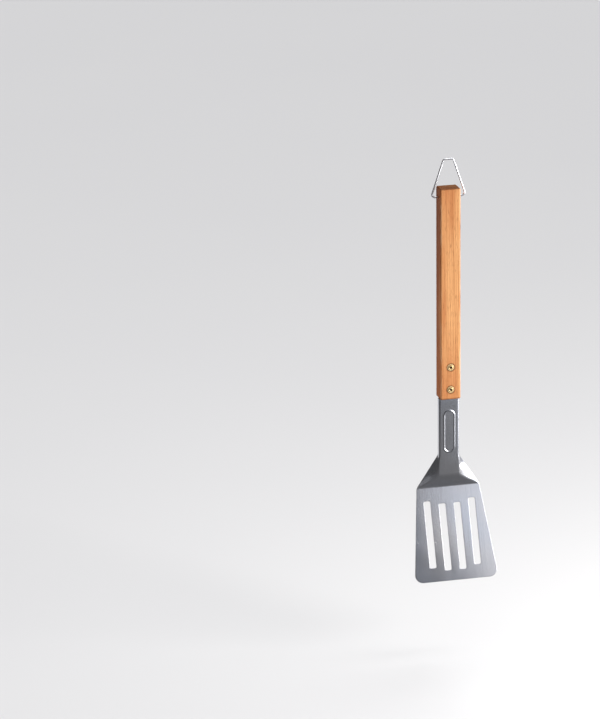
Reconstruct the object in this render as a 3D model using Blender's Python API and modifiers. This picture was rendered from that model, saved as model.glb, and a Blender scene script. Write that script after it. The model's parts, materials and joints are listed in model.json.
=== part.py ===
"""Grill spatula: a slotted steel turner with a square hardwood handle and a wire hanging loop.

Metres, +Z up. The tool hangs straight down: X is its width, and -Y is the side that carries food.
The origin is inside the top bend of the loop, at the point where a hook bears.
"""

import math

import bmesh
import bpy
from mathutils import Matrix, Vector

# ---- driving dimensions -----------------------------------------------------------------------

FIT_GAP = 0.0003  # room round every piece that sits in or against another

WIRE_DIAMETER = 0.0020
LOOP_REACH = 0.0434  # from the pivot to the inside of the top bend
LOOP_TOP_SPAN = 0.0116  # between the corners of the wire's centre line
LOOP_FOOT_STANDOFF = 0.0087  # from the handle's side to the foot's corner
LOOP_TOP_BEND = 0.0025  # bend radii of the centre line
LOOP_FOOT_BEND = 0.0035
LOOP_FOOT_INSERT = 0.0080  # wire inside the handle, at each side

HANDLE_WIDTH = 0.0245
HANDLE_DEPTH = 0.0200
HANDLE_LENGTH = 0.2548
HANDLE_EDGE_RADIUS = 0.0022
HANDLE_END_RADIUS = 0.0018
PIVOT_BELOW_TOP = 0.0112

SHEET = 0.0014  # thickness of the steel
CHANNEL_DEPTH = 0.0060
CHANNEL_INNER_BEND = 0.0004
WEB_AHEAD = 0.0037  # the web's front, ahead of the handle's middle
SHANK_LENGTH = 0.0957  # from the handle's end to the end of the web
FLARE_HEIGHT = 0.0250  # the part of the shank's length over which its flanges open out
RAMP_HEIGHT = 0.0150

TANG_WIDTH = 0.0160
TANG_PAST_RIVET = 0.0134  # from the upper rivet to the end of the tang
MORTISE_END_ROOM = 0.0015

BLADE_LENGTH = 0.1116
BLADE_TILT = math.radians(20.5)
BLADE_NECK_WIDTH = 0.0765
BLADE_TIP_WIDTH = 0.1025
TIP_CORNER_RADIUS = 0.0095

SLOT_COUNT = 4
SLOT_WIDTH = 0.0082
SLOT_PITCH = 0.0182
SLOT_START = 0.0203  # from the crease to the two middle slots
SLOT_TIP_MARGIN = 0.0123  # from the two middle slots to the tip
OUTER_SLOT_RISE = 0.0040  # how much nearer the crease the two outer slots start
SLOT_CORNER_RADIUS = 0.0018

RIVET_DIAMETER = 0.0040
RIVET_WALL = 0.0007  # round the hollow in its front end
RIVET_HOLLOW_DEPTH = 0.0050
RIVET_RIM_LIP = 0.0006  # how far the rolled rim stands out from the shank
RIVET_HEAD_LIP = 0.0022
RIVET_HEAD_THICKNESS = 0.0008
RIVET_RIM_HEIGHT = 0.0006
RIVET_DOME_HEIGHT = 0.0005
RIVET_FROM_END = 0.0122  # from the handle's end to the lower rivet
RIVET_SPACING = 0.0272
WASHER_DIAMETER = 0.0084
WASHER_THICKNESS = 0.0008
COUNTERBORE_DEPTH = 0.0010

# ---- how finely the round shapes are divided --------------------------------------------------

CORNER_STEPS = 4
WING_STEPS = 8
FLARE_STEPS = 6
EDGE_STEPS = 4
END_STEPS = 2
TURN_STEPS = 24
HOLE_SIDES = 24
CUTTER_REACH = 0.0060  # how far a cutter stands out on each side of what it cuts

# ---- places that follow from the dimensions ---------------------------------------------------

CHANNEL_WIDTH = HANDLE_WIDTH  # the shank runs on flush with the handle's sides
CHANNEL_BEND = SHEET + CHANNEL_INNER_BEND
FLARE_BELOW_END = SHANK_LENGTH - FLARE_HEIGHT
TANG_LENGTH = RIVET_FROM_END + RIVET_SPACING + TANG_PAST_RIVET
SLOT_LENGTH = BLADE_LENGTH - SLOT_START - SLOT_TIP_MARGIN
RIVET_HEAD_DIAMETER = RIVET_DIAMETER + 2 * RIVET_HEAD_LIP
PIVOT_Z = -LOOP_REACH
HANDLE_TOP_Z = PIVOT_Z + PIVOT_BELOW_TOP
HANDLE_END_Z = HANDLE_TOP_Z - HANDLE_LENGTH
WEB_FRONT_Y = -WEB_AHEAD
CREASE_Y = WEB_FRONT_Y + CHANNEL_DEPTH
CREASE_BELOW_END = SHANK_LENGTH + RAMP_HEIGHT
CREASE_Z = HANDLE_END_Z - CREASE_BELOW_END
RIVET_HEIGHTS = {
    "lower": HANDLE_END_Z + RIVET_FROM_END,
    "upper": HANDLE_END_Z + RIVET_FROM_END + RIVET_SPACING,
}


# ---- helpers ----------------------------------------------------------------------------------


def clear_scene():
    for item in list(bpy.data.objects):
        bpy.data.objects.remove(item, do_unlink=True)


def new_collection(name):
    collection = bpy.data.collections.new(name)
    bpy.context.scene.collection.children.link(collection)
    return collection


def new_material(name, colour, roughness, metallic):
    material = bpy.data.materials.new(name)
    material.use_nodes = True
    shader = material.node_tree.nodes["Principled BSDF"]
    shader.inputs["Base Color"].default_value = (*colour, 1.0)
    shader.inputs["Roughness"].default_value = roughness
    shader.inputs["Metallic"].default_value = metallic
    return material


def mesh_object(name, bm, collection):
    mesh = bpy.data.meshes.new(name)
    bm.to_mesh(mesh)
    bm.free()
    item = bpy.data.objects.new(name, mesh)
    collection.objects.link(item)
    return item


def make_cutter(item):
    item.hide_render = True
    item.display_type = "WIRE"
    return item


def cut(item, cutter):
    modifier = item.modifiers.new(cutter.name, "BOOLEAN")
    modifier.operation = "DIFFERENCE"
    modifier.solver = "EXACT"
    modifier.object = cutter


def rod_cutter(name, diameter, length, along, centre, collection):
    """A cylinder along X or Y, through centre."""
    bm = bmesh.new()
    bmesh.ops.create_cone(
        bm,
        cap_ends=True,
        segments=HOLE_SIDES,
        radius1=diameter / 2,
        radius2=diameter / 2,
        depth=length,
    )
    cutter = make_cutter(mesh_object(name, bm, collection))
    turn = {"X": (0, math.pi / 2, 0), "Y": (math.pi / 2, 0, 0)}
    cutter.rotation_euler = turn[along]
    cutter.location = centre
    return cutter


def round_corner(before, corner, after, radius, steps):
    """The points of an arc that touches both lines through a corner."""
    to_before = (before - corner).normalized()
    to_after = (after - corner).normalized()
    half = to_before.angle(to_after) / 2
    bisector = (to_before + to_after).normalized()
    centre = corner + bisector * (radius / math.sin(half))
    first = corner + to_before * (radius / math.tan(half)) - centre
    last = corner + to_after * (radius / math.tan(half)) - centre
    sweep = first.angle(last)
    points = []
    for step in range(steps + 1):
        share = step / steps
        arm = first * math.sin((1 - share) * sweep) + last * math.sin(share * sweep)
        points.append(centre + arm / math.sin(sweep))
    return points


def half_ellipse(centre_x, centre_z, reach, height, start, end, steps):
    """Points (x, z) round an ellipse, from one angle to another."""
    points = []
    for step in range(steps + 1):
        angle = math.radians(start + (end - start) * step / steps)
        points.append((centre_x + reach * math.cos(angle), centre_z + height * math.sin(angle)))
    return points


def outline_cutter(name, outline, thickness, matrix, collection):
    """A flat outline given thickness, as a closed mesh that can cut."""
    curve = bpy.data.curves.new(name, "CURVE")
    curve.dimensions = "2D"
    curve.fill_mode = "BOTH"
    curve.extrude = thickness / 2
    spline = curve.splines.new("POLY")
    spline.points.add(len(outline) - 1)
    for point, place in zip(spline.points, outline):
        point.co = (place.x, place.y, 0, 1)
    spline.use_cyclic_u = True
    guide = bpy.data.objects.new(name + "_outline", curve)
    collection.objects.link(guide)
    guide.matrix_world = matrix
    bpy.context.view_layer.update()
    evaluated = guide.evaluated_get(bpy.context.evaluated_depsgraph_get())
    mesh = bpy.data.meshes.new_from_object(evaluated)
    bm = bmesh.new()
    bm.from_mesh(mesh)
    bmesh.ops.remove_doubles(bm, verts=bm.verts, dist=0.000001)
    bmesh.ops.recalc_face_normals(bm, faces=bm.faces)
    bm.to_mesh(mesh)
    bm.free()
    cutter = make_cutter(bpy.data.objects.new(name, mesh))
    collection.objects.link(cutter)
    cutter.matrix_world = guide.matrix_world
    bpy.data.objects.remove(guide, do_unlink=True)
    return cutter


def turned(name, profile, is_ring, collection):
    """A profile of (radius, height) points, turned about Z. A ring's profile is a closed one."""
    bm = bmesh.new()
    verts = [bm.verts.new((radius, 0, height)) for radius, height in profile]
    for first, second in zip(verts, verts[1:]):
        bm.edges.new((first, second))
    if is_ring:
        bm.edges.new((verts[-1], verts[0]))
    item = mesh_object(name, bm, collection)
    screw = item.modifiers.new("turn", "SCREW")
    screw.axis = "Z"
    screw.angle = 2 * math.pi
    screw.steps = TURN_STEPS
    screw.render_steps = TURN_STEPS
    screw.use_merge_vertices = True
    screw.merge_threshold = 0.000001
    screw.use_smooth_shade = True
    return item


# ---- the handle -------------------------------------------------------------------------------


def long_edges(bm):
    edges = []
    for edge in bm.edges:
        run = edge.verts[0].co - edge.verts[1].co
        if abs(run.z) > HANDLE_LENGTH / 2:
            edges.append(edge)
    return edges


def end_edges(bm):
    """The edges round each end face, once the long edges are rounded."""
    edges = []
    for edge in bm.edges:
        heights = [abs(vert.co.z) for vert in edge.verts]
        is_rim = len(edge.link_faces) == 2 and edge.calc_face_angle() > math.radians(60)
        if min(heights) > HANDLE_LENGTH / 2 - FIT_GAP and is_rim:
            edges.append(edge)
    return edges


def make_handle(collection, cutters, material):
    """The square stick, with its mortise, its rivet bores and the cross hole for the loop."""
    bm = bmesh.new()
    bmesh.ops.create_cube(bm, size=1.0)
    size = Matrix.Diagonal((HANDLE_WIDTH, HANDLE_DEPTH, HANDLE_LENGTH, 1))
    bmesh.ops.transform(bm, matrix=size, verts=bm.verts)
    bmesh.ops.bevel(
        bm,
        geom=long_edges(bm),
        offset=HANDLE_EDGE_RADIUS,
        segments=EDGE_STEPS,
        profile=0.5,
        affect="EDGES",
    )
    bmesh.ops.bevel(
        bm,
        geom=end_edges(bm),
        offset=HANDLE_END_RADIUS,
        segments=END_STEPS,
        profile=0.5,
        affect="EDGES",
    )
    handle = mesh_object("handle", bm, collection)
    handle.location = (0, 0, HANDLE_TOP_Z - HANDLE_LENGTH / 2)
    handle.data.materials.append(material)

    cut(handle, make_mortise(cutters))
    hole = WIRE_DIAMETER + 2 * FIT_GAP
    length = HANDLE_WIDTH + 2 * CUTTER_REACH
    centre = (0, 0, PIVOT_Z)
    cut(handle, rod_cutter("cross_hole", hole, length, "X", centre, cutters))
    for place, height in RIVET_HEIGHTS.items():
        make_rivet_bores(handle, place, height, cutters)
    handle.data.shade_smooth()
    handle.data.set_sharp_from_angle(angle=math.radians(35))
    return handle


def make_mortise(cutters):
    """The blind slot that takes the tang, open at the handle's lower end."""
    bm = bmesh.new()
    bmesh.ops.create_cube(bm, size=1.0)
    depth = TANG_LENGTH + MORTISE_END_ROOM
    size = Vector((TANG_WIDTH + 2 * FIT_GAP, SHEET + 2 * FIT_GAP, depth + CUTTER_REACH))
    bmesh.ops.transform(bm, matrix=Matrix.Diagonal((*size, 1)), verts=bm.verts)
    cutter = make_cutter(mesh_object("mortise", bm, cutters))
    top = HANDLE_END_Z + depth
    cutter.location = (0, WEB_FRONT_Y + SHEET / 2, top - size.z / 2)
    return cutter


def make_rivet_bores(handle, place, height, cutters):
    """A bore right through, with a shallow counterbore on each face."""
    through = HANDLE_DEPTH + 2 * CUTTER_REACH
    bore = RIVET_DIAMETER + 2 * FIT_GAP
    cut(handle, rod_cutter("bore_" + place, bore, through, "Y", (0, 0, height), cutters))
    sink_length = COUNTERBORE_DEPTH + CUTTER_REACH
    sink_middle = HANDLE_DEPTH / 2 - COUNTERBORE_DEPTH + sink_length / 2
    sinks = (("front", -1, WASHER_DIAMETER), ("back", 1, RIVET_HEAD_DIAMETER))
    for face, side, diameter in sinks:
        name = "counterbore_" + place + "_" + face
        centre = (0, side * sink_middle, height)
        sink = rod_cutter(name, diameter + 2 * FIT_GAP, sink_length, "Y", centre, cutters)
        cut(handle, sink)


# ---- the pressed sheet ------------------------------------------------------------------------


def wing_reach(below_end):
    """Half the sheet's width as it opens out from the channel, at a distance below the handle."""
    share = max(0.0, (below_end - FLARE_BELOW_END) / (CREASE_BELOW_END - FLARE_BELOW_END))
    return CHANNEL_WIDTH / 2 + (BLADE_NECK_WIDTH - CHANNEL_WIDTH) / 2 * share


def section(below_end):
    """Half the front outline of the ridge at one level, as (x, depth behind the web's front)."""
    web = Vector((CHANNEL_WIDTH / 2, 0))
    edge = Vector((wing_reach(below_end), CHANNEL_DEPTH))
    middle = Vector((0, 0))
    bend = round_corner(middle, web, edge, CHANNEL_BEND, CORNER_STEPS)
    points = [middle, Vector((TANG_WIDTH / 2, 0))] + bend
    for step in range(1, WING_STEPS + 1):
        points.append(bend[-1].lerp(edge, step / WING_STEPS))
    return points


def sheet_rows():
    """Rows of points down the front of the sheet, from the handle's end to the crease."""
    levels = [FIT_GAP]
    for step in range(FLARE_STEPS + 1):
        levels.append(FLARE_BELOW_END + FLARE_HEIGHT * step / FLARE_STEPS)
    rows = []
    for below_end in levels:
        row = []
        for x, depth in section(below_end):
            row.append(Vector((x, WEB_FRONT_Y + depth, -below_end)))
        rows.append(row)
    for step in range(1, WING_STEPS + 1):
        share = step / WING_STEPS
        below_end = SHANK_LENGTH + RAMP_HEIGHT * share
        row = []
        for x, depth in section(below_end):
            row.append(Vector((x, WEB_FRONT_Y + max(depth, CHANNEL_DEPTH * share), -below_end)))
        rows.append(row)
    return rows


def tip_outline():
    """Half the blade's outline below the crease, from the middle of the tip round its corner."""
    middle = Vector((0, -BLADE_LENGTH))
    corner = Vector((BLADE_TIP_WIDTH / 2, -BLADE_LENGTH))
    neck = Vector((BLADE_NECK_WIDTH / 2, 0))
    outline = [middle] + round_corner(middle, corner, neck, TIP_CORNER_RADIUS, 2 * CORNER_STEPS)
    to_sheet = Matrix.Translation((0, 0, -HANDLE_END_Z)) @ blade_frame()
    return [to_sheet @ point.to_3d() for point in outline]


def make_sheet(collection, cutters, material):
    """Shank, shoulders, ramp, blade and tang: one sheet, half of it drawn and mirrored."""
    bm = bmesh.new()
    rows = [[bm.verts.new(point) for point in row] for row in sheet_rows()]
    for upper, lower in zip(rows, rows[1:]):
        for inner in range(len(upper) - 1):
            outer = inner + 1
            bm.faces.new((upper[inner], lower[inner], upper[outer]))
            bm.faces.new((upper[outer], lower[inner], lower[outer]))
    shoulder = rows[0]
    tang_middle = bm.verts.new((0, WEB_FRONT_Y, TANG_LENGTH))
    tang_side = bm.verts.new((TANG_WIDTH / 2, WEB_FRONT_Y, TANG_LENGTH))
    bm.faces.new((tang_middle, shoulder[0], shoulder[1], tang_side))
    tip = [bm.verts.new(point) for point in tip_outline()]
    bm.faces.new(tip + rows[-1][::-1])
    sheet = mesh_object("blade_and_shank", bm, collection)
    sheet.location = (0, 0, HANDLE_END_Z)
    sheet.data.materials.append(material)

    mirror = sheet.modifiers.new("other_half", "MIRROR")
    mirror.merge_threshold = 0.000001
    solidify = sheet.modifiers.new("thickness", "SOLIDIFY")
    solidify.thickness = SHEET
    solidify.offset = -1
    solidify.use_even_offset = True

    for cutter in slot_cutters(cutters):
        cut(sheet, cutter)
    bore = RIVET_DIAMETER + 2 * FIT_GAP
    length = SHEET + 2 * CUTTER_REACH
    for place, height in RIVET_HEIGHTS.items():
        centre = (0, WEB_FRONT_Y, height)
        cut(sheet, rod_cutter("tang_hole_" + place, bore, length, "Y", centre, cutters))
    sheet.data.shade_smooth()
    sheet.data.set_sharp_from_angle(angle=math.radians(25))
    return sheet


def blade_frame():
    """The blade's own frame: X across, Y up its slope to the crease, Z out of its front."""
    crease = Matrix.Translation((0, CREASE_Y, CREASE_Z))
    return crease @ Matrix.Rotation(math.pi / 2 - BLADE_TILT, 4, "X")


def slot_cutters(cutters):
    """The parallel slots, the two outer ones nearer the crease."""
    found = []
    middle = (SLOT_COUNT - 1) / 2
    for number in range(SLOT_COUNT):
        is_outer = number in (0, SLOT_COUNT - 1)
        start = SLOT_START - (OUTER_SLOT_RISE if is_outer else 0)
        centre_x = (number - middle) * SLOT_PITCH
        left = centre_x - SLOT_WIDTH / 2
        right = centre_x + SLOT_WIDTH / 2
        corners = [
            Vector((left, -start)),
            Vector((left, -start - SLOT_LENGTH)),
            Vector((right, -start - SLOT_LENGTH)),
            Vector((right, -start)),
        ]
        outline = []
        for place, corner in enumerate(corners):
            before = corners[place - 1]
            after = corners[(place + 1) % 4]
            outline += round_corner(before, corner, after, SLOT_CORNER_RADIUS, CORNER_STEPS)
        name = "slot_" + str(number + 1)
        thickness = 2 * CUTTER_REACH
        found.append(outline_cutter(name, outline, thickness, blade_frame(), cutters))
    return found


# ---- the rivets and their washers -------------------------------------------------------------


def rivet_levels():
    """Heights along a rivet, measured from the handle's middle towards its front face."""
    face = HANDLE_DEPTH / 2
    washer_under = face - COUNTERBORE_DEPTH + FIT_GAP
    washer_top = washer_under + WASHER_THICKNESS
    rim_under = washer_top + FIT_GAP
    head_under = -face + COUNTERBORE_DEPTH - FIT_GAP
    return washer_under, washer_top, rim_under, head_under


def make_rivet(place, height, collection, material):
    """A tubular rivet: its head on the back face, its rolled rim over the front washer."""
    rim_under, head_under = rivet_levels()[2:]
    hollow = RIVET_DIAMETER / 2 - RIVET_WALL
    rim = RIVET_DIAMETER / 2 + RIVET_RIM_LIP
    head = RIVET_HEAD_DIAMETER / 2
    floor = rim_under - RIVET_HOLLOW_DEPTH
    head_edge = head_under - RIVET_HEAD_THICKNESS
    rim_middle = (hollow + rim) / 2
    profile = [(0, floor), (hollow, floor)]
    profile += half_ellipse(rim_middle, rim_under, (rim - hollow) / 2, RIVET_RIM_HEIGHT, 180, 0, 6)
    profile += [(RIVET_DIAMETER / 2, rim_under), (RIVET_DIAMETER / 2, head_under)]
    profile += [(head, head_under)]
    profile += half_ellipse(0, head_edge, head, RIVET_DOME_HEIGHT, 0, -90, 6)
    profile[-1] = (0, head_edge - RIVET_DOME_HEIGHT)
    rivet = turned("rivet_" + place, profile, False, collection)
    rivet.rotation_euler = (math.pi / 2, 0, 0)
    rivet.location = (0, 0, height)
    rivet.data.materials.append(material)


def make_washer(place, height, collection, material):
    """The brass ring under the rolled rim, with its outer edge eased."""
    washer_under, washer_top = rivet_levels()[:2]
    inner = RIVET_DIAMETER / 2 + FIT_GAP
    outer = WASHER_DIAMETER / 2
    ease = WASHER_THICKNESS / 2
    profile = [(inner, washer_top), (outer - ease, washer_top), (outer, washer_top - ease)]
    profile += [(outer, washer_under), (inner, washer_under)]
    washer = turned("rivet_washer_" + place, profile, True, collection)
    washer.rotation_euler = (math.pi / 2, 0, 0)
    washer.location = (0, 0, height)
    washer.data.materials.append(material)


# ---- the hanging loop -------------------------------------------------------------------------


def loop_route():
    """The wire's centre line in its own frame, whose origin is on the pivot."""
    foot_end = HANDLE_WIDTH / 2 - LOOP_FOOT_INSERT
    foot = HANDLE_WIDTH / 2 + LOOP_FOOT_STANDOFF
    top = LOOP_TOP_SPAN / 2
    top_z = LOOP_REACH + WIRE_DIAMETER / 2
    start = Vector((foot_end, 0, 0))
    foot_corner = Vector((foot, 0, 0))
    top_corner = Vector((top, 0, top_z))
    crown = Vector((0, 0, top_z))
    half = [start]
    half += round_corner(start, foot_corner, top_corner, LOOP_FOOT_BEND, 2 * CORNER_STEPS)
    half += round_corner(foot_corner, top_corner, crown, LOOP_TOP_BEND, CORNER_STEPS)
    other = [Vector((-point.x, 0, point.z)) for point in reversed(half)]
    return half + other


def make_loop(collection, material):
    """One bent wire whose in-turned feet sit in the handle's cross hole."""
    curve = bpy.data.curves.new("hanging_loop", "CURVE")
    curve.dimensions = "3D"
    curve.bevel_depth = WIRE_DIAMETER / 2
    curve.bevel_resolution = 3
    curve.use_fill_caps = True
    route = loop_route()
    spline = curve.splines.new("POLY")
    spline.points.add(len(route) - 1)
    for point, place in zip(spline.points, route):
        point.co = (*place, 1)
    loop = bpy.data.objects.new("hanging_loop", curve)
    collection.objects.link(loop)
    loop.location = (0, 0, PIVOT_Z)
    curve.materials.append(material)


# ---- assembly ---------------------------------------------------------------------------------


def main():
    clear_scene()
    collection = new_collection("grill_spatula")
    cutters = new_collection("cutters")
    wood = new_material("oiled_hardwood", (0.66, 0.33, 0.15), 0.45, 0.0)
    steel = new_material("brushed_steel", (0.52, 0.54, 0.58), 0.35, 1.0)
    brass = new_material("brass", (0.72, 0.52, 0.26), 0.30, 1.0)
    wire = new_material("bright_wire", (0.70, 0.71, 0.73), 0.25, 1.0)

    make_handle(collection, cutters, wood)
    make_sheet(collection, cutters, steel)
    for place, height in RIVET_HEIGHTS.items():
        make_rivet(place, height, collection, brass)
        make_washer(place, height, collection, brass)
    make_loop(collection, wire)


main()
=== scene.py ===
# %% [markdown]
# # A grill spatula, made and finished piece by piece
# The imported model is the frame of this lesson: seven plain solids that already fit and move. A frame
# like this could be rendered as it is, but its corners are faceted and its edges are knife sharp. So it
# is loaded first and only measured, and each piece is then made again in the same place, with the
# eased edges, soft bends and finishes of the real one.

# %% Load the frame
import json
import math

import bmesh
import bpy
from mathutils import Matrix, Vector


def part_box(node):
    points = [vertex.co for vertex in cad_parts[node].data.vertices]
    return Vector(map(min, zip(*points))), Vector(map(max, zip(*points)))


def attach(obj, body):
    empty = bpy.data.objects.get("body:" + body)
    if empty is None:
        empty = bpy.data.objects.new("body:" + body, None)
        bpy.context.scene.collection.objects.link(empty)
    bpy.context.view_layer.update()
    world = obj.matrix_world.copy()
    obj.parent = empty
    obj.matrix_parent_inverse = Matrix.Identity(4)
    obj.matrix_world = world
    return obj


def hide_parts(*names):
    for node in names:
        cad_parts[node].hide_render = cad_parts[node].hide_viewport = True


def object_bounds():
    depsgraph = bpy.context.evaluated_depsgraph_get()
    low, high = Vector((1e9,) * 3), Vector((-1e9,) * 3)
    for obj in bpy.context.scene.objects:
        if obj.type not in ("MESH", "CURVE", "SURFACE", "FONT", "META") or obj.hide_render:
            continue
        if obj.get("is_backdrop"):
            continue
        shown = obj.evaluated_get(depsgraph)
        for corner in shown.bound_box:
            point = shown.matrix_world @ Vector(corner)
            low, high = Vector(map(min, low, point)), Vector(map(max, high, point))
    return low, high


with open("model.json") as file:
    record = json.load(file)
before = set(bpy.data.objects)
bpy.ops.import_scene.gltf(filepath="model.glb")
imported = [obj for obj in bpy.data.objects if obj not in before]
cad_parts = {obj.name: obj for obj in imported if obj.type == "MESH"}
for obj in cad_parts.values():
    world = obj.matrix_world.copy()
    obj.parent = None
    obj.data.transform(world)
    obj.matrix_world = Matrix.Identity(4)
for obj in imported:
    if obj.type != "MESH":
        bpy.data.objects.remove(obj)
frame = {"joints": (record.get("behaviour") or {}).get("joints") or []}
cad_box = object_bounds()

# %% [markdown]
# ## Sizes
# The frame gives what can be read off a box: how wide and long a piece is, and where it ends. What a
# box can't tell, such as a bend's radius or the room round a rivet, is a named value here, in metres.
# Keeping all of them in one cell would be tidy too, but each reads best beside the piece it shapes, so
# this cell holds only what several pieces share.

# %% Sizes that several pieces share
handle_low, handle_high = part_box("handle")
sheet_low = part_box("blade_and_shank")[0]
pivot = Vector(frame["joints"][0]["pos_m"])
HALF_WIDTH = handle_high.x
HALF_DEPTH = handle_high.y
HANDLE_TOP = handle_high.z
HANDLE_END = handle_low.z
GAP = 0.0003
SHEET = 0.0014
WEB_FRONT = -0.0037
EDGE_RADIUS = 0.0022
SAME_PLACE = 0.0000005
RIVET_HEIGHTS = {
    "lower": HANDLE_END + 0.0122,
    "upper": HANDLE_END + 0.0394,
}
print("handle from", round(HANDLE_TOP, 4), "to", round(HANDLE_END, 4), "m")

# %% [markdown]
# ## Three helpers for meshes
# A mesh can be built by clicking through modifiers, or in code with bmesh. Code is used here, because
# each size then stays a name. The first helper turns a bmesh into an object. The second lets modifiers
# do the bevels and then keeps their result as a plain mesh, so that nothing is left to evaluate. The
# third makes a piece ride on the body it belongs to, and prints how far its box is from the solid it
# stands for: a few hundredths of a millimetre is what eased edges cost.

# %% Helpers for meshes
def new_piece(name, bm):
    mesh = bpy.data.meshes.new(name)
    bm.to_mesh(mesh)
    bm.free()
    piece = bpy.data.objects.new(name, mesh)
    bpy.context.scene.collection.objects.link(piece)
    return piece


def settle(piece):
    """Keeps what a piece's modifiers make of it as its mesh."""
    graph = bpy.context.evaluated_depsgraph_get()
    mesh = bpy.data.meshes.new_from_object(piece.evaluated_get(graph))
    piece.modifiers.clear()
    piece.data = mesh


def ease_edges(piece, width, steps, from_angle):
    """Rounds every edge sharper than an angle, and lets the flat faces keep their shading."""
    piece.data.shade_smooth()
    bevel = piece.modifiers.new("eased edges", "BEVEL")
    bevel.width = width
    bevel.segments = steps
    bevel.limit_method = "ANGLE"
    bevel.angle_limit = math.radians(from_angle)
    bevel.use_clamp_overlap = False
    normals = piece.modifiers.new("even shading", "WEIGHTED_NORMAL")
    normals.keep_sharp = False
    normals.weight = 50
    settle(piece)


def fit(piece, node, body):
    """Puts a finished piece on its body in place of its plain solid."""
    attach(piece, body)
    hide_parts(node)
    bpy.context.view_layer.update()
    places = [piece.matrix_world @ vert.co for vert in piece.data.vertices]
    low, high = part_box(node)
    worst = 0.0
    for axis in range(3):
        lowest = min(place[axis] for place in places)
        highest = max(place[axis] for place in places)
        worst = max(worst, abs(lowest - low[axis]), abs(highest - high[axis]))
    print(piece.name, len(piece.data.polygons), "faces, box within", round(worst * 1000, 3), "mm")


# %% [markdown]
# ## A small language for finishes
# A finish is a web of nodes. It could be wired by hand in the shader editor, or in code with one line
# for each node and each link, which soon hides the idea. Here a Signal stands for the output of a
# node, and arithmetic on it adds the Math nodes, so that a mask can be written as 1 - wear * 0.4.
# Colours and directions go through Mix and Vector Math instead, because a Math node would turn a
# colour grey.

# %% A signal
class Signal:
    """The output of a node. Arithmetic on it adds the nodes that work it out."""

    def __init__(self, finish, socket):
        self.finish = finish
        self.socket = socket

    def maths(self, operation, first, second=0.0):
        is_number = self.socket.type == "VALUE"
        kind = "ShaderNodeMath" if is_number else "ShaderNodeVectorMath"
        return self.finish.add(kind, {"operation": operation}, {0: first, 1: second})

    def __add__(self, other):
        return self.maths("ADD", self, other)

    def __radd__(self, other):
        return self.maths("ADD", other, self)

    def __sub__(self, other):
        return self.maths("SUBTRACT", self, other)

    def __rsub__(self, other):
        return self.maths("SUBTRACT", other, self)

    def __mul__(self, other):
        return self.maths("MULTIPLY", self, other)

    def __rmul__(self, other):
        return self.maths("MULTIPLY", other, self)

    def __truediv__(self, other):
        return self.maths("DIVIDE", self, other)

    def __pow__(self, other):
        return self.maths("POWER", self, other)

    def __mod__(self, other):
        return self.maths("FLOORED_MODULO", self, other)

    def __abs__(self):
        return self.maths("ABSOLUTE", self)

    def at_least(self, other):
        return self.maths("MAXIMUM", self, other)

    def at_most(self, other):
        return self.maths("MINIMUM", self, other)

    def between(self, low, high):
        """0 up to low, 1 from high on, and a soft step from one to the other."""
        sockets = {"Value": self, "From Min": low, "From Max": high}
        return self.finish.add("ShaderNodeMapRange", {"interpolation_type": "SMOOTHSTEP"}, sockets)

    def split(self):
        """The three parts of a place or a direction."""
        made = self.finish.add("ShaderNodeSeparateXYZ", {}, {0: self})
        outputs = made.socket.node.outputs
        return [Signal(self.finish, output) for output in outputs]


# %% [markdown]
# ## The tree that signals belong to
# Nodes live in a tree, and something has to add them. It could be a loose function that is handed the
# tree each time. A Finish holds the tree instead, so that a material's code never has to name it. Its
# last three methods add the nodes that almost every finish here needs.

# %% A finish
class Finish:
    """A node tree, and the ways to add to it."""

    def __init__(self, tree):
        self.tree = tree

    def plug(self, socket, value):
        if isinstance(value, Signal):
            self.tree.links.new(value.socket, socket)
        elif isinstance(value, (int, float)) and socket.type == "VECTOR":
            socket.default_value = (value, value, value)
        elif isinstance(value, tuple) and socket.type == "RGBA":
            socket.default_value = (*value, 1.0)
        else:
            socket.default_value = value

    def add(self, kind, settings, sockets, output=0):
        """Adds any node: its settings first, then the values and links of its sockets."""
        made = self.tree.nodes.new(kind)
        for name, value in settings.items():
            setattr(made, name, value)
        for name, value in sockets.items():
            self.plug(made.inputs[name], value)
        return Signal(self, made.outputs[output])

    def mix(self, share, start, end):
        """One colour turning into another as share goes from 0 to 1."""
        factor, first, second, result = 0, 6, 7, 2
        sockets = {factor: share, first: start, second: end}
        return self.add("ShaderNodeMix", {"data_type": "RGBA"}, sockets, result)

    def noise(self, place, stretch, detail=2.0, roughness=0.5):
        """Cloudy values round 0.5, with stretch cells to the metre along each axis."""
        sockets = {"Vector": place * stretch, "Scale": 1.0, "Detail": detail, "Roughness": roughness}
        return self.add("ShaderNodeTexNoise", {}, sockets)

    def bump(self, height):
        """Normals for a relief whose height is in metres."""
        return self.add("ShaderNodeBump", {}, {"Strength": 1.0, "Distance": 1.0, "Height": height})


# %% [markdown]
# ## From the first node to the shader
# Every material starts with a place on its piece and ends in one shader. The place is in metres from
# the piece's own origin, so that a pattern 2 mm wide is 2 mm wide on every piece. Generated places run
# from 0 to 1 over a piece instead, which would stretch the grain of anything long.

# %% The start and the end of a material
def new_finish(name):
    """A material, with its finish and the place on the piece in the piece's own metres."""
    material = bpy.data.materials.new(name)
    material.use_nodes = True
    finish = Finish(material.node_tree)
    place = finish.add("ShaderNodeTexCoord", {}, {}, "Object")
    return material, finish, place


def coat(material, constants, varying):
    """Sets the shader: constants on its own sockets, and what varies as links."""
    finish = Finish(material.node_tree)
    shader = material.node_tree.nodes["Principled BSDF"]
    for name, value in (constants | varying).items():
        finish.plug(shader.inputs[name], value)
    print(material.name, len(material.node_tree.nodes), "nodes")


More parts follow.
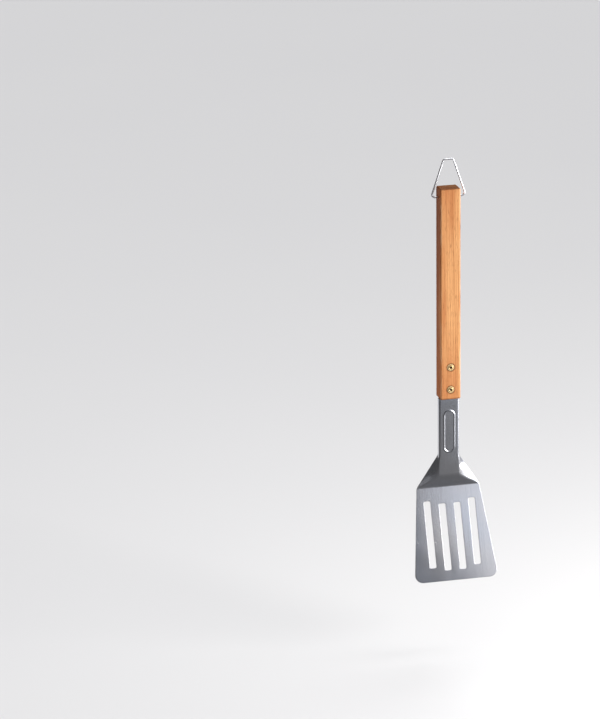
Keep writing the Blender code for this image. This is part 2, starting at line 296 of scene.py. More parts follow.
# %% [markdown]
# ## Oiled hardwood
# The handle is a stick of dense reddish wood with a thin coat of oil. Wood could be faked with a
# striped picture, but a picture can't turn the corner from the long grain to the end grain. Here the
# tree is in the material: growth rings about a heart that lies beside the stick, fibres and pores
# stretched along it, and slow changes of tone. Every face then cuts the same block of wood, as a saw
# would.

# %% The grain of the wood
RING_WIDTH = 0.0021
HEART = (0.047, 0.012)
RING_DRIFT = 0.016
RING_RIPPLE = 0.0012
WOOD_PALE = (0.690, 0.360, 0.155)
WOOD_DEEP = (0.385, 0.150, 0.052)
WOOD_RED = (0.490, 0.188, 0.072)
WOOD_PORE = (0.165, 0.055, 0.020)


def wood_grain(wood, place):
    """Clean wood: its colour, then its late rings, fibres, pores and slow tone."""
    x, y, _ = place.split()
    drift = wood.noise(place, (14, 14, 3.2), 2.0) - 0.5
    ripple = wood.noise(place, (90, 90, 9), 2.0) - 0.5
    heart_x, heart_y = HEART
    radius = ((x - heart_x) ** 2 + (y - heart_y) ** 2) ** 0.5
    ring = ((radius + drift * RING_DRIFT + ripple * RING_RIPPLE) / RING_WIDTH) % 1
    late = ring.between(0.35, 0.93) * (1 - ring.between(0.95, 1.0))
    fibre = wood.noise(place, (2100, 2100, 26), 3.0, 0.6)
    streak = wood.noise(place, (420, 420, 5), 2.0)
    tone = wood.noise(place, (60, 60, 6), 2.0)
    pore = wood.noise(place, (2900, 2900, 95), 1.0).between(0.60, 0.72)

    colour = wood.mix(tone.between(0.36, 0.66), WOOD_PALE, WOOD_RED)
    dark = late * 0.42 + streak.between(0.42, 0.78) * 0.45 + fibre.between(0.40, 0.75) * 0.34
    colour = wood.mix(dark.at_most(1.0), colour, WOOD_DEEP)
    colour = wood.mix(pore * 0.85, colour, WOOD_PORE)
    return colour, late, fibre, pore, tone


# %% [markdown]
# ## Painted side shade, rubbed corners and oil
# The two narrow sides carry painted shade. They are darker and redder, and darker still towards the
# top, as a side turned from the light looks. The long corners are paler, partly rubbed by hands and
# partly a painted highlight. Oil goes deeper at the ends. Round each rivet the wood is darker: patchy
# dirt with painted shade at the counterbore's edge. All of this could be painted by hand, but each
# mark has a place, so each is a mask worked out from it.

# %% Wear and painted shade on the wood, and the whole finish
# The first two colours paint shade on the narrow sides, the rubbed colour is partly a painted
# highlight, and the grime colour also paints shade round the rivets.
WOOD_SIDE_SHADE = (0.480, 0.130, 0.034)
WOOD_SIDE_SHADE_TOP = (0.150, 0.034, 0.010)
WOOD_RUBBED_AND_HIGHLIGHT = (0.760, 0.480, 0.270)
WOOD_GRIME_AND_SHADE = (0.105, 0.036, 0.016)
RUBBED_AND_LIT_PER_AREA = 900000
SKIN = 0.0002
SIDE_SHADE_DEPTH = 0.0016
TOP_DEPTH = 0.0011
LOW_DEPTH = 0.0030
RIVET_SHADE_START = 0.0042
RIVET_SHADE_END = 0.0066
FIBRE_RELIEF = 0.000022
PORE_RELIEF = 0.000055
LATE_RELIEF = 0.000014
OILED_IOR = 1.12


def wood_wear_and_shade(wood, place, colour, tone):
    """Worn wood with painted shade: its colour, then how rubbed and lit its corners are, and where its
    ends are.
    """
    x, y, z = place.split()
    # Painted shade: both narrow sides darker and redder, and darker still towards the top.
    shaded_sides = abs(x).between(HALF_WIDTH - SIDE_SHADE_DEPTH, HALF_WIDTH - SKIN)
    side_shade_to_top = shaded_sides * z.between(HANDLE_END, HANDLE_TOP)
    colour = wood.mix(shaded_sides * 0.35, colour, WOOD_SIDE_SHADE)
    colour = wood.mix(side_shade_to_top * (0.30 + tone * 0.50), colour, WOOD_SIDE_SHADE_TOP)

    # Paler long corners: partly rubbed wear, partly a painted highlight.
    past_width = (abs(x) - (HALF_WIDTH - EDGE_RADIUS)).at_least(0.0)
    past_depth = (abs(y) - (HALF_DEPTH - EDGE_RADIUS)).at_least(0.0)
    patchy = wood.noise(place, (300, 300, 40), 3.0).between(0.38, 0.66)
    rubbed_and_lit = (past_width * past_depth * RUBBED_AND_LIT_PER_AREA).at_most(1.0) * patchy
    colour = wood.mix(rubbed_and_lit * 0.55, colour, WOOD_RUBBED_AND_HIGHLIGHT)

    top_end = z.between(HANDLE_TOP - TOP_DEPTH, HANDLE_TOP - SKIN)
    low_end = 1 - z.between(HANDLE_END + SKIN, HANDLE_END + LOW_DEPTH)
    end_grain = (top_end + low_end).at_most(1.0)
    colour = wood.mix(end_grain * 0.72, colour, WOOD_GRIME_AND_SHADE)
    # Darker wood round each rivet: patchy dirt, and painted shade at the counterbore's edge.
    for height in RIVET_HEIGHTS.values():
        away = (x ** 2 + (z - height) ** 2) ** 0.5
        rivet_dirt_and_shade = (1 - away.between(RIVET_SHADE_START, RIVET_SHADE_END)) * (0.35 + patchy * 0.4)
        colour = wood.mix(rivet_dirt_and_shade, colour, WOOD_GRIME_AND_SHADE)
    return colour, rubbed_and_lit, end_grain


def oiled_hardwood():
    material, wood, place = new_finish("oiled_hardwood")
    colour, late, fibre, pore, tone = wood_grain(wood, place)
    colour, rubbed_and_lit, end_grain = wood_wear_and_shade(wood, place, colour, tone)
    gloss = 0.46 + fibre * 0.10 + pore * 0.25 - rubbed_and_lit * 0.08 + end_grain * 0.18
    relief = fibre * FIBRE_RELIEF - pore * PORE_RELIEF - late * LATE_RELIEF
    varying = {"Base Color": colour, "Roughness": gloss, "Normal": wood.bump(relief)}
    coat(material, {"IOR": OILED_IOR}, varying)
    return material


wood_material = oiled_hardwood()

# %% [markdown]
# ## Brushed stainless steel
# The sheet is polished on a belt along its length, so it has fine lines one way, in bands that no two
# passes leave quite alike. An anisotropic shader could smear the highlight, but it shows no lines
# close up. Noise drawn out along the blade gives both: it moves the tone, the roughness and a very
# low relief together. Use adds thin scratches two ways and a faint tint from heat. The sheared edge
# of the sheet never met the belt: it is rougher, with marks straight through the thickness.

# %% Brushed steel and sheared steel
STEEL_COOL = (0.500, 0.525, 0.590)
STEEL_WARM = (0.585, 0.575, 0.590)
STEEL_DARK = (0.330, 0.345, 0.390)
STEEL_CUT = (0.700, 0.700, 0.720)
SCRATCH_SLANT = math.radians(33)
SCRATCH_WANDER = 0.0012
LINE_RELIEF = 0.0000040
BAND_RELIEF = 0.0000060
SCRATCH_RELIEF = 0.0000050
CUT_RELIEF = 0.000030


def brushed_steel():
    material, steel, place = new_finish("brushed_steel")
    fine = steel.noise(place, (6500, 60, 28), 2.0, 0.6)
    band = steel.noise(place, (900, 20, 9), 2.0)
    cloud = steel.noise(place, (26, 26, 20), 3.0, 0.6)
    heat = steel.noise(place, (14, 14, 9), 1.0)
    lines = fine * 0.6 + band * 0.4
    scratch_place = place + steel.noise(place, (30, 30, 30), 0.0) * SCRATCH_WANDER
    slant = {"Vector": scratch_place, "Angle": SCRATCH_SLANT}
    slanted_place = steel.add("ShaderNodeVectorRotate", {"rotation_type": "Y_AXIS"}, slant)
    first = abs(steel.noise(scratch_place, (190, 8, 9), 0.0) - 0.5)
    second = abs(steel.noise(slanted_place, (170, 8, 9), 0.0) - 0.5)
    scratch = (1 - first.between(0.0, 0.0030)).at_least(1 - second.between(0.0, 0.0022))
    scratch = scratch * cloud.between(0.47, 0.66)

    colour = steel.mix(heat.between(0.30, 0.70), STEEL_COOL, STEEL_WARM)
    colour = steel.mix(lines.between(0.46, 0.66) * 0.42, colour, STEEL_DARK)
    colour = steel.mix(cloud.between(0.50, 0.80) * 0.30, colour, STEEL_DARK)
    colour = steel.mix(scratch * 0.28, colour, STEEL_CUT)
    roughness = 0.15 + lines * 0.14 + cloud.between(0.40, 0.75) * 0.05 + scratch * 0.06
    relief = fine * LINE_RELIEF + band * BAND_RELIEF - scratch * SCRATCH_RELIEF
    varying = {"Base Color": colour, "Roughness": roughness, "Normal": steel.bump(relief)}
    coat(material, {"Metallic": 1.0}, varying)
    return material


def sheared_steel():
    material, steel, place = new_finish("sheared_steel")
    marks = steel.noise(place, (900, 120, 900), 3.0, 0.7)
    colour = steel.mix(marks.between(0.35, 0.70), STEEL_CUT, STEEL_DARK)
    varying = {
        "Base Color": colour,
        "Roughness": 0.26 + marks * 0.22,
        "Normal": steel.bump(marks * CUT_RELIEF),
    }
    coat(material, {"Metallic": 1.0}, varying)
    return material


steel_material = brushed_steel()
edge_material = sheared_steel()

# %% [markdown]
# ## Brass
# The rings are stamped from brass sheet and the rivets are drawn brass tube. New brass is an even
# yellow, but air and hands turn it brown wherever nothing rubs it: in the hollow, under the rolled rim
# and round the outside. A plain yellow metal would read as plastic. So the tone follows how far a
# point is from the rivet's middle, with fine rings left by the tool that set it, and blotches on top.

# %% Brass for the rings and for the rivets
BRASS_PALE = (0.950, 0.700, 0.370)
BRASS_DULL = (0.600, 0.405, 0.180)
BRASS_OLIVE = (0.230, 0.165, 0.082)
BRASS_BLACK = (0.060, 0.042, 0.026)
SOFT_START = 0.0003
SOFT_END = 0.0002
TURNED_RELIEF = 0.000004
BLOTCH_RELIEF = 0.000012
SPECK_RELIEF = 0.000010


def brass(name, inner_dark, outer_dark):
    """Brass that is dull inside one radius and outside another, both from the piece's own axis."""
    material, metal, place = new_finish(name)
    x, y, _ = place.split()
    radius = (x ** 2 + y ** 2) ** 0.5
    blotch = metal.noise(place, (900, 900, 900), 3.0, 0.65)
    outward = metal.add("ShaderNodeCombineXYZ", {}, {"X": radius})
    turned = metal.noise(outward, (9000, 0, 0), 1.0)
    speck = metal.noise(place, (2600, 2600, 2600), 1.0).between(0.62, 0.70)
    inside = 1 - radius.between(inner_dark - SOFT_START, inner_dark + SOFT_END)
    outside = radius.between(outer_dark - SOFT_START, outer_dark)
    colour = metal.mix(blotch.between(0.42, 0.70) * 0.75, BRASS_PALE, BRASS_DULL)
    colour = metal.mix(turned.between(0.40, 0.70) * 0.25, colour, BRASS_DULL)
    colour = metal.mix((inside + outside * 0.7).at_most(1.0) * 0.85, colour, BRASS_OLIVE)
    colour = metal.mix(speck * 0.8, colour, BRASS_BLACK)
    roughness = 0.34 + blotch * 0.20 + inside * 0.15 + speck * 0.2
    relief = turned * TURNED_RELIEF + blotch * BLOTCH_RELIEF - speck * SPECK_RELIEF
    varying = {"Base Color": colour, "Roughness": roughness, "Normal": metal.bump(relief)}
    coat(material, {"Metallic": 1.0}, varying)
    return material


# %% [markdown]
# ## Drawn wire
# The hanging loop is bright steel wire, pulled through a die and then bent. The die leaves long faint
# lines, and the hook it hangs from has polished the top bend. It could share the sheet's brushed
# steel, but those lines run down the tool and would cross the wire at the bends, so it has a finish
# of its own, brighter and smoother.

# %% Drawn wire
WIRE_BRIGHT = (0.760, 0.765, 0.800)
WIRE_GREY = (0.480, 0.490, 0.530)
DRAWN_RELIEF = 0.000005
POLISH_START = -0.006
POLISH_END = -0.001


def drawn_wire():
    material, metal, place = new_finish("bright_wire")
    up = place.split()[2]
    lines = metal.noise(place, (1500, 1500, 220), 3.0, 0.6)
    dull = metal.noise(place, (160, 160, 160), 2.0)
    polished = up.between(POLISH_START, POLISH_END)
    tone = lines.between(0.40, 0.70) * 0.4 + dull.between(0.42, 0.70) * 0.4
    colour = metal.mix(tone * (1 - polished * 0.6), WIRE_BRIGHT, WIRE_GREY)
    roughness = 0.16 + lines * 0.14 + dull * 0.10 - polished * 0.06
    relief = lines * DRAWN_RELIEF
    varying = {"Base Color": colour, "Roughness": roughness, "Normal": metal.bump(relief)}
    coat(material, {"Metallic": 1.0}, varying)
    return material


wire_material = drawn_wire()

# %% [markdown]
# ## The handle
# The stick is sawn square, its long corners are rounded with a router and its ends are sanded over.
# It could be a subdivided cage, but that rounds everything at once and never quite leaves the faces
# flat. A box with two rounds of bevels keeps them flat, and Booleans then drill what a workshop
# drills: a cross hole for the wire, a stepped bore for each rivet, and the mortise for the tang.

# %% The handle's blank
END_RADIUS = 0.0018
ROUNDING_ERROR = 0.00001


def handle_blank():
    bm = bmesh.new()
    bmesh.ops.create_cube(bm, size=1.0)
    size = handle_high - handle_low
    bmesh.ops.transform(bm, matrix=Matrix.Diagonal((*size, 1)), verts=bm.verts)
    along = [edge for edge in bm.edges if edge.calc_length() > size.z - ROUNDING_ERROR]
    bmesh.ops.bevel(bm, geom=along, offset=EDGE_RADIUS, segments=10, profile=0.5, affect="EDGES")
    around = []
    for edge in bm.edges:
        is_at_end = all(abs(abs(vert.co.z) - size.z / 2) < ROUNDING_ERROR for vert in edge.verts)
        if is_at_end and edge.calc_face_angle() > math.radians(60):
            around.append(edge)
    bmesh.ops.bevel(bm, geom=around, offset=END_RADIUS, segments=7, profile=0.5, affect="EDGES")
    bmesh.ops.translate(bm, vec=(handle_low + handle_high) / 2, verts=bm.verts)
    print("rounded", len(along), "long edges and", len(around), "end edges")
    return new_piece("oiled_handle", bm)


handle = handle_blank()

# %% [markdown]
# ## Drilling it
# A cutter is an object that a Boolean takes away. One cutter that held every hole would be quicker,
# but the bores run into the mortise, and a cutter that crosses itself is hard for a Boolean to read.
# So each hole is cut by itself. The last step eases the rims, because a drilled rim in wood is never
# left sharp.

# %% The handle's holes
CROSS_HOLE = 0.0026
BORE = 0.0046
COUNTERBORE = 0.0090
COUNTERBORE_DEPTH = 0.0010
TANG_WIDTH = 0.0160
TANG_TOP = HANDLE_END + 0.0528
MORTISE_TOP = TANG_TOP + 0.0015
OVERSHOOT = 0.0050


def rod(diameter, start, end):
    """A round cutter from one point to another."""
    bm = bmesh.new()
    radius = diameter / 2
    length = (end - start).length
    bmesh.ops.create_cone(bm, cap_ends=True, segments=64, radius1=radius, radius2=radius, depth=length)
    turn = (end - start).to_track_quat("Z", "Y").to_matrix().to_4x4()
    bmesh.ops.transform(bm, matrix=Matrix.Translation((start + end) / 2) @ turn, verts=bm.verts)
    return new_piece("cutter", bm)


def block(low, high):
    """A square cutter between two corners."""
    bm = bmesh.new()
    bmesh.ops.create_cube(bm, size=1.0)
    matrix = Matrix.Translation((low + high) / 2) @ Matrix.Diagonal((*(high - low), 1))
    bmesh.ops.transform(bm, matrix=matrix, verts=bm.verts)
    return new_piece("cutter", bm)


def cut_away(piece, cutters):
    for cutter in cutters:
        boolean = piece.modifiers.new("cut", "BOOLEAN")
        boolean.operation = "DIFFERENCE"
        boolean.object = cutter
    settle(piece)
    for cutter in cutters:
        bpy.data.objects.remove(cutter)
    print(piece.name, "after", len(cutters), "cuts:", len(piece.data.vertices), "points")


def handle_cutters():
    side = Vector((HALF_WIDTH + OVERSHOOT, 0, 0))
    cutters = [rod(CROSS_HOLE, pivot - side, pivot + side)]
    low = Vector((-TANG_WIDTH / 2 - GAP, WEB_FRONT - GAP, HANDLE_END - OVERSHOOT))
    high = Vector((TANG_WIDTH / 2 + GAP, WEB_FRONT + SHEET + GAP, MORTISE_TOP))
    cutters.append(block(low, high))
    for height in RIVET_HEIGHTS.values():
        middle = Vector((0, 0, height))
        face = Vector((0, HALF_DEPTH - COUNTERBORE_DEPTH, 0))
        outside = Vector((0, HALF_DEPTH + OVERSHOOT, 0))
        cutters.append(rod(BORE, middle - outside, middle + outside))
        cutters.append(rod(COUNTERBORE, middle + face, middle + outside))
        cutters.append(rod(COUNTERBORE, middle - outside, middle - face))
    return cutters


cut_away(handle, handle_cutters())
ease_edges(handle, width=0.00018, steps=3, from_angle=55)
handle.data.materials.append(wood_material)
fit(handle, "handle", "spatula")

# %% [markdown]
# ## The pressed sheet
# One sheet of steel is blanked, slotted and pressed into three shapes at once: a channel that carries
# the handle's width on down, shoulders that open out of it, and a flat blade bent forward. Three
# parts joined together would show seams that the real one doesn't have. So the front of the sheet is
# one surface, described by how deep it lies behind the channel's front at each level, and every
# crease is a soft change from one slope to the next, as a press leaves it.

# %% The sheet's sizes
CHANNEL_DEPTH = 0.0060
CHANNEL_BEND = 0.0018
SHANK_LENGTH = 0.0957
FLARE_START = 0.0707
CREASE = 0.1107
RAMP_HEIGHT = CREASE - SHANK_LENGTH
NECK_HALF = 0.03825
TIP_HALF = 0.05120
BLADE_LENGTH = 0.1116
BLADE_TILT = math.radians(20.5)
TIP_CORNER = 0.0095
CREASE_BLEND = 0.0012
RIDGE_BLEND = 0.0010
OUTLINE_BLEND = 0.0016


def soft_max(first, second, blend):
    """The larger of two values, with a rounded change-over."""
    overlap = max(blend - abs(first - second), 0.0) / blend
    return max(first, second) + overlap * overlap * blend / 4


def soft_min(first, second, blend):
    return -soft_max(-first, -second, blend)


def half_outline(below):
    """Half the sheet's width at a level below the handle."""
    flare = HALF_WIDTH + (NECK_HALF - HALF_WIDTH) * (below - FLARE_START) / (CREASE - FLARE_START)
    down_blade = (below - CREASE) / math.cos(BLADE_TILT)
    blade = NECK_HALF + (TIP_HALF - NECK_HALF) * down_blade / BLADE_LENGTH
    return soft_min(soft_max(HALF_WIDTH, flare, OUTLINE_BLEND), blade, OUTLINE_BLEND)


def slope_depth(below):
    """How deep the ramp, and the blade after it, lie behind the channel's front."""
    ramp = CHANNEL_DEPTH * (below - SHANK_LENGTH) / RAMP_HEIGHT
    blade = CHANNEL_DEPTH - math.tan(BLADE_TILT) * (below - CREASE)
    return ramp, soft_min(ramp, blade, CREASE_BLEND)


print("half outline at the crease", round(half_outline(CREASE) * 1000, 2), "mm")

# %% [markdown]
# ## The blank raised panel
# Tools like this often carry a pressed mark on the shank. This one is bare: a plain raised rib in the
# shape of a long oval stands there instead, and stiffens the channel. It could be a separate ring laid
# on top, but a press pushes the sheet itself, so the rib is a small change of depth in the same
# surface, and it shows from behind as a groove.

# %% The rib
RIB_MIDDLE = 0.0410
RIB_STRAIGHT = 0.0385
RIB_RADIUS = 0.0062
RIB_HALF_WIDTH = 0.0012
RIB_HEIGHT = 0.0005


def rib(x, below):
    """How far the rib stands forward at a point of the channel."""
    past_straight = max(abs(below - RIB_MIDDLE) - RIB_STRAIGHT / 2, 0.0)
    away = abs(math.hypot(x, past_straight) - RIB_RADIUS)
    if away > RIB_HALF_WIDTH:
        return 0.0
    return RIB_HEIGHT * math.cos(math.pi / 2 * away / RIB_HALF_WIDTH) ** 2


print("the rib stands", rib(RIB_RADIUS, RIB_MIDDLE), "m forward at its crest")

# %% [markdown]
# ## Rows of points
# A sheet can be a grid whose rows all hold the same number of points. They could be spaced evenly, but
# then a tight bend gets two or three of them and looks folded. So a row is made of stretches, each with
# a count of its own: few points where the sheet is flat, and many round the bend.

# %% Rows of the sheet
def arc(before, corner, after, radius, steps):
    """Points round an arc that touches both lines through a corner."""
    to_before = (before - corner).normalized()
    to_after = (after - corner).normalized()
    half = to_before.angle(to_after) / 2
    centre = corner + (to_before + to_after).normalized() * (radius / math.sin(half))
    first = corner + to_before * (radius / math.tan(half)) - centre
    last = corner + to_after * (radius / math.tan(half)) - centre
    sweep = first.angle(last)
    points = []
    for step in range(steps + 1):
        share = step / steps
        arm = first * math.sin((1 - share) * sweep) + last * math.sin(share * sweep)
        points.append(centre + arm / math.sin(sweep))
    return points


def spread(start, end, steps):
    """Evenly spaced points after start, up to end."""
    return [start.lerp(end, (step + 1) / steps) for step in range(steps)]


TANG_COLUMNS = 22
WEB_COLUMNS = 7
BEND_COLUMNS = 8
WING_COLUMNS = 18
RIDGE_FADE = 0.004
RIDGE_LEAST = 0.02


def section(below):
    """Half the channel's outline at a level, as (x, depth), before the ramp meets it."""
    middle = Vector((0, 0))
    tang_edge = Vector((TANG_WIDTH / 2, 0))
    corner = Vector((HALF_WIDTH, 0))
    outer = Vector((half_outline(min(below, CREASE)), CHANNEL_DEPTH))
    bend = arc(middle, corner, outer, CHANNEL_BEND, BEND_COLUMNS)
    points = [middle] + spread(middle, tang_edge, TANG_COLUMNS)
    points += spread(tang_edge, bend[0], WEB_COLUMNS) + bend[1:]
    return points + spread(bend[-1], outer, WING_COLUMNS)


def sheet_row(below):
    """One row of the sheet's front surface, from its middle to its edge."""
    ramp, slope = slope_depth(below)
    eased = slope / ramp if ramp > 0 else 1.0
    blend = RIDGE_BLEND * min(1.0, max(RIDGE_LEAST, (CREASE - below) / RIDGE_FADE))
    points = section(below)
    widen = half_outline(below) / points[-1].x
    row = []
    for x, ridge in points:
        depth = slope
        if below < CREASE:
            depth = soft_max(ridge * eased, slope, blend)
        row.append(Vector((x * widen, WEB_FRONT + depth - rib(x, below), HANDLE_END - below)))
    return row


print("points in a row:", len(sheet_row(SHANK_LENGTH)))

# %% [markdown]
# ## Filling the flats
# The blade's face has holes in it, and so has the tang. A Boolean could cut them, but it leaves long
# thin faces that catch the light. It is simpler to draw the outlines, with the holes as loops inside
# them, and let one fill make the flat face between. Only half of the sheet is drawn. The middle two
# slots lie off the centre line, so no slot crosses it, and the rivet holes are half circles on it.

# %% Slots, tip and tang
SLOT_PITCH = 0.0182
SLOT_HALF = 0.0041
SLOT_CORNER = 0.0018
SLOT_FAR_START = 0.0203
SLOT_LENGTH = 0.0790
OUTER_RISE = 0.0040
TANG_HOLE = 0.0046
TANG_CORNER = 0.0015
SLOT_STEPS = 8
TIP_STEPS = 20
TANG_STEPS = 6
HOLE_STEPS = 16
blade_frame = Matrix.Translation((0, WEB_FRONT + CHANNEL_DEPTH, HANDLE_END - CREASE))
blade_frame = blade_frame @ Matrix.Rotation(math.pi / 2 - BLADE_TILT, 4, "X")


def rounded_loop(corners, radius, steps):
    """A closed outline through some corners, each of them rounded."""
    points = []
    for number, corner in enumerate(corners):
        after = corners[(number + 1) % len(corners)]
        points += arc(corners[number - 1], corner, after, radius, steps)
    return points


def half_slots():
    """The outlines of the slots on one side of the blade, in the blade's own frame."""
    found = []
    for number in range(2):
        middle = SLOT_PITCH * (number + 0.5)
        start = -SLOT_FAR_START + OUTER_RISE * number
        left = middle - SLOT_HALF
        right = middle + SLOT_HALF
        ends = (start, start - SLOT_LENGTH)
        corners = [(left, ends[0]), (left, ends[1]), (right, ends[1]), (right, ends[0])]
        found.append(rounded_loop([Vector(corner) for corner in corners], SLOT_CORNER, SLOT_STEPS))
    return found


def tip_outline():
    """From the blade's edge round the tip's corner to the middle of the tip."""
    neck = Vector((NECK_HALF, 0))
    corner = Vector((TIP_HALF, -BLADE_LENGTH))
    middle = Vector((0, -BLADE_LENGTH))
    return arc(neck, corner, middle, TIP_CORNER, TIP_STEPS) + [middle]


def tang_outline():
    """From the tang's side over its top and down the middle line, round both rivet holes."""
    side = TANG_WIDTH / 2
    foot = Vector((side, HANDLE_END))
    corner = Vector((side, TANG_TOP))
    middle = Vector((0, TANG_TOP))
    points = arc(foot, corner, middle, TANG_CORNER, TANG_STEPS) + [middle]
    for place in ("upper", "lower"):
        for step in range(HOLE_STEPS + 1):
            angle = math.pi / 2 - math.pi * step / HOLE_STEPS
            x = max(TANG_HOLE / 2 * math.cos(angle), 0.0)
            points.append(Vector((x, RIVET_HEIGHTS[place] + TANG_HOLE / 2 * math.sin(angle))))
    return [Vector((point.x, WEB_FRONT, point.y)) for point in points]


print("points round half a tip", len(tip_outline()), "and half a tang", len(tang_outline()))

# %% [markdown]
# ## Pressing it
# The rows are joined into a grid, the flats are filled, and three modifiers do the rest: Mirror makes
# the other half, Solidify gives the sheet its thickness behind the front surface, and the rim it makes
# takes the sheared finish. The bevel that follows is only a quarter of a millimetre, but an edge with
# no width can't catch the light, and that thin bright line is what says sheet steel.

# %% The whole sheet
ROW_STEP = 0.00038
GRID_END = CREASE + 0.0026
MIRROR_REACH = 0.000001


def chain(bm, verts, is_loop):
    """Edges from each point to the next, where there are none yet."""
    pairs = list(zip(verts, verts[1:]))
    if is_loop:
        pairs.append((verts[-1], verts[0]))
    return [bm.edges.get(pair) or bm.edges.new(pair) for pair in pairs]


def fill_flat(bm, outline, holes):
    """One flat fill inside an outline and outside its holes."""
    edges = chain(bm, outline, True)
    for hole in holes:
        edges += chain(bm, hole, True)
    bmesh.ops.triangle_fill(bm, edges=edges, use_beauty=True)


def pressed_sheet():
    bm = bmesh.new()
    count = round((GRID_END - GAP) / ROW_STEP)
    levels = [GAP + (GRID_END - GAP) * step / count for step in range(count + 1)]
    grid = [[bm.verts.new(place) for place in sheet_row(below)] for below in levels]
    for upper, lower in zip(grid, grid[1:]):
        for inner in range(len(upper) - 1):
            bm.faces.new((upper[inner], lower[inner], lower[inner + 1], upper[inner + 1]))
    tip = [bm.verts.new(blade_frame @ point.to_3d()) for point in tip_outline()]
    slots = []
    for outline in half_slots():
        slots.append([bm.verts.new(blade_frame @ point.to_3d()) for point in outline])
    fill_flat(bm, grid[-1] + tip, slots)
    tang = [bm.verts.new(place) for place in tang_outline()]
    fill_flat(bm, grid[0][: TANG_COLUMNS + 1] + tang, [])
    bmesh.ops.recalc_face_normals(bm, faces=bm.faces)
    bm.faces.ensure_lookup_table()
    if bm.faces[0].normal.y > 0:
        bmesh.ops.reverse_faces(bm, faces=bm.faces)
    sheet = new_piece("pressed_turner", bm)
    sheet.data.materials.append(steel_material)
    sheet.data.materials.append(edge_material)
    mirror = sheet.modifiers.new("other half", "MIRROR")
    mirror.merge_threshold = MIRROR_REACH
    solidify = sheet.modifiers.new("thickness", "SOLIDIFY")
    solidify.thickness = SHEET
    solidify.offset = -1
    solidify.use_even_offset = True
    solidify.material_offset_rim = 1
    settle(sheet)
    return sheet


sheet = pressed_sheet()
ease_edges(sheet, width=0.00025, steps=3, from_angle=50)
fit(sheet, "blade_and_shank", "spatula")

# %% [markdown]
# ## Rivets and rings
# Each fastening is a length of brass tube with a head on the back face. Its front end is rolled over a
# brass ring, like an eyelet. All of it is turned, so each piece is one profile spun about its axis.
# Round primitives stacked on each other could stand in for it, but the roll of the rim, the dished
# floor and the dome of the head come from one smooth outline.

# %% Profiles turned about an axis
TURNS = 96
TURNED_SHARP = math.radians(42)
RIVET_RADIUS = 0.0020
HOLLOW_RADIUS = 0.0013
RIM_RADIUS = 0.0026
RIM_HEIGHT = 0.0006
HOLLOW_DEPTH = 0.0050
HEAD_RADIUS = 0.0042
HEAD_THICKNESS = 0.0008
DOME_HEIGHT = 0.0005
RING_INNER = RIVET_RADIUS + GAP
RING_OUTER = 0.0042
RING_THICKNESS = 0.0008
RING_UNDER = HALF_DEPTH - COUNTERBORE_DEPTH + GAP
RING_TOP = RING_UNDER + RING_THICKNESS
RIM_UNDER = RING_TOP + GAP
HEAD_UNDER = -RING_UNDER
EASE = 0.0003
SMALL_EASE = 0.0001
FLOOR_DISH = 0.00005


def quarter(middle, reach, height, start, end, steps):
    """Points (radius, height) round an ellipse, from one angle in degrees to another."""
    points = []
    for step in range(steps + 1):
        angle = math.radians(start + (end - start) * step / steps)
        points.append((middle[0] + reach * math.cos(angle), middle[1] + height * math.sin(angle)))
    return points


def turned(name, profile, is_ring, height):
    """Spins a profile of (radius, height) about the rivet's axis, which runs out of the front."""
    bm = bmesh.new()
    verts = [bm.verts.new((radius, 0, level)) for radius, level in profile]
    edges = chain(bm, verts, is_ring)
    bmesh.ops.spin(
        bm,
        geom=verts + edges,
        cent=(0, 0, 0),
        axis=(0, 0, 1),
        angle=2 * math.pi,
        steps=TURNS,
        use_merge=True,
    )
    bmesh.ops.remove_doubles(bm, verts=bm.verts, dist=SAME_PLACE)
    bmesh.ops.recalc_face_normals(bm, faces=bm.faces)
    piece = new_piece(name, bm)
    piece.data.shade_smooth()
    piece.data.set_sharp_from_angle(angle=TURNED_SHARP)
    piece.rotation_euler = (math.pi / 2, 0, 0)
    piece.location = (0, 0, height)
    return piece


def rivet_profile():
    """From the hollow's floor over the rolled rim, down the shank and round the head."""
    floor = RIM_UNDER - HOLLOW_DEPTH
    middle = (HOLLOW_RADIUS + RIM_RADIUS) / 2
    reach = (RIM_RADIUS - HOLLOW_RADIUS) / 2
    head_edge = HEAD_UNDER - HEAD_THICKNESS
    profile = [(0, floor)]
    profile += [(HOLLOW_RADIUS - EASE, floor + FLOOR_DISH), (HOLLOW_RADIUS, floor + EASE)]
    profile += quarter((middle, RIM_UNDER), reach, RIM_HEIGHT, 180, 0, 18)
    profile += [(RIM_RADIUS - SMALL_EASE, RIM_UNDER), (RIVET_RADIUS, RIM_UNDER)]
    profile += [(RIVET_RADIUS, HEAD_UNDER), (HEAD_RADIUS - SMALL_EASE, HEAD_UNDER)]
    profile += [(HEAD_RADIUS, HEAD_UNDER - SMALL_EASE)]
    profile += quarter((0, head_edge), HEAD_RADIUS, DOME_HEIGHT, 0, -86, 16)
    return profile + [(0, head_edge - DOME_HEIGHT)]


def ring_profile():
    """A flat ring with its outer and inner top edges rounded."""
    outer = (RING_OUTER - EASE, RING_TOP - EASE)
    inner = (RING_INNER + SMALL_EASE, RING_TOP - SMALL_EASE)
    profile = quarter(outer, EASE, EASE, 0, 90, 6)
    profile += quarter(inner, SMALL_EASE, SMALL_EASE, 90, 180, 3)
    return profile + [(RING_INNER, RING_UNDER), (RING_OUTER, RING_UNDER)]


print("points in a rivet's profile", len(rivet_profile()), "and in a ring's", len(ring_profile()))

# %% [markdown]
# ## Setting both fastenings
# The two fastenings are the same, so one loop sets both. Copies of one mesh would do as well, but each
# piece carries its own place, and spinning a profile again costs nothing. The dark radius of
# a rivet is its hollow, and the dark radius of a ring is the seam under the rolled rim.

